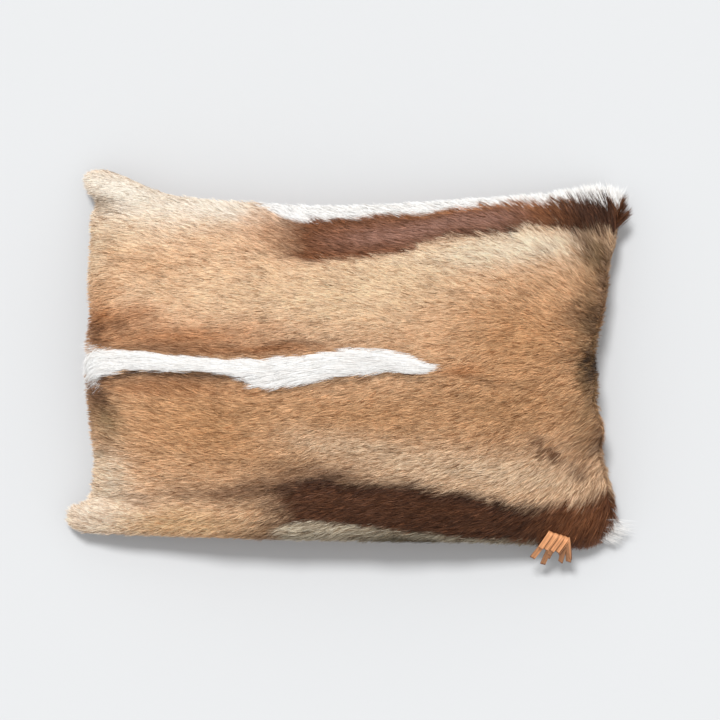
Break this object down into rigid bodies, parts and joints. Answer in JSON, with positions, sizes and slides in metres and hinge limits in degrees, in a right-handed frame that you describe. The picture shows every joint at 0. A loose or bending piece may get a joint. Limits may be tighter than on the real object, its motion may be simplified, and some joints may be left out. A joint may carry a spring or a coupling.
{
  "type": "hide cushion cover",
  "caption": "Filled rectangular cushion in a springbok hide cover with the hair on, lying on its back, with long-haired corners and a leather strip tassel at its seam.",
  "frame": {"origin": "middle of the flattened back, on the surface that the cushion lies on", "axes": "+Z out of the hair side, +X along the long side towards the tassel's end, +Y along the short side away from the tassel"},
  "size_m": [0.636, 0.4375, 0.1305],
  "materials": {
    "hide": "short natural hair lying along the hide, tan with dark brown side stripes, white belly bands and a white crest",
    "strip_leather": "light orange-tan leather strips with a matt grain and pale cut edges"
  },
  "bodies": {
    "root": {"cushion": "hide", "tassel": "strip_leather"}
  },
  "joints": []
}
